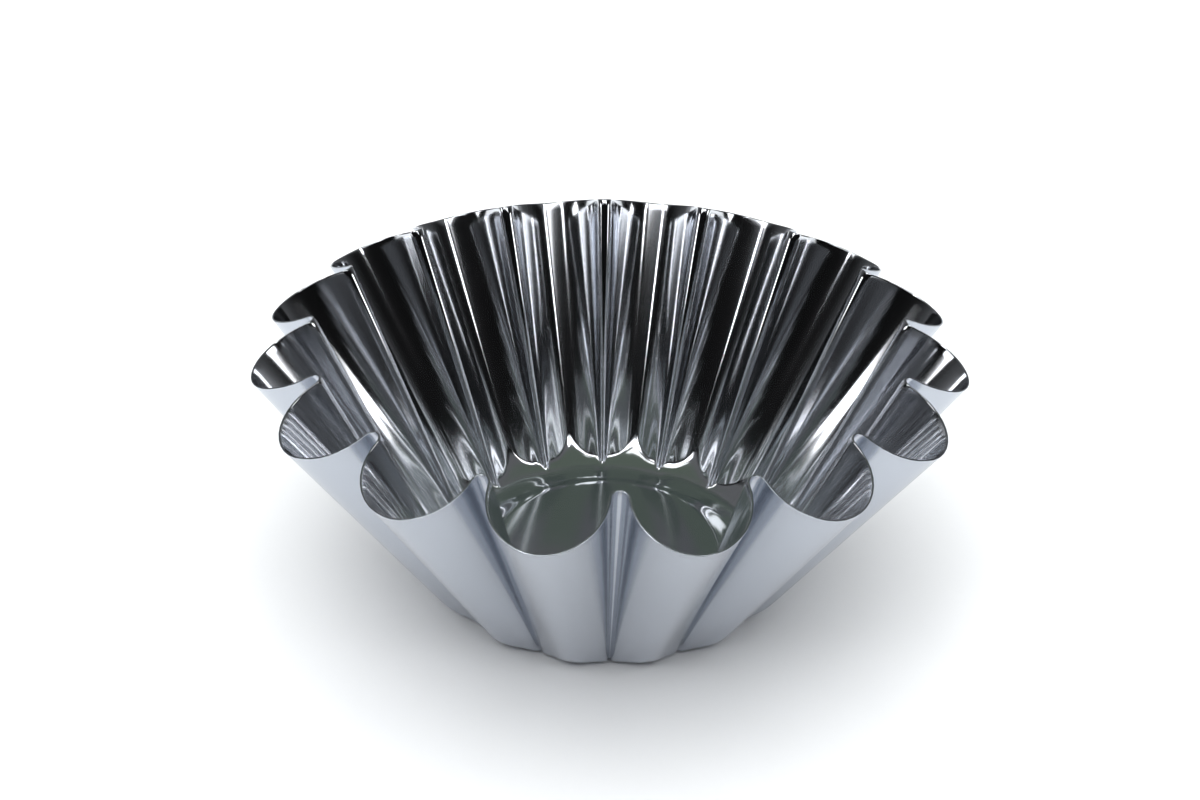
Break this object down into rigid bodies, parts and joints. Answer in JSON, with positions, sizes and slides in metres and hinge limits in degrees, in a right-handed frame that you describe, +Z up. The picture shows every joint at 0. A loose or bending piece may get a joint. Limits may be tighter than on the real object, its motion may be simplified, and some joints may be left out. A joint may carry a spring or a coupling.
{
  "type": "fluted tart pan",
  "caption": "Deep fluted tart or brioche tin: a flared cup pressed from one sheet of tinplate, with a flat stepped base.",
  "frame": {"origin": "on the axis, at the underside of the flat base, which the pan stands on", "axes": "+Z up along the pan's axis out of its mouth; -Y is the front, with one inward ridge of the wall on it"},
  "size_m": [0.1182, 0.1182, 0.05],
  "materials": {
    "tinplate": "bright pressed tinplate"
  },
  "bodies": {
    "root": {"fluted_pan": "tinplate"}
  },
  "joints": []
}
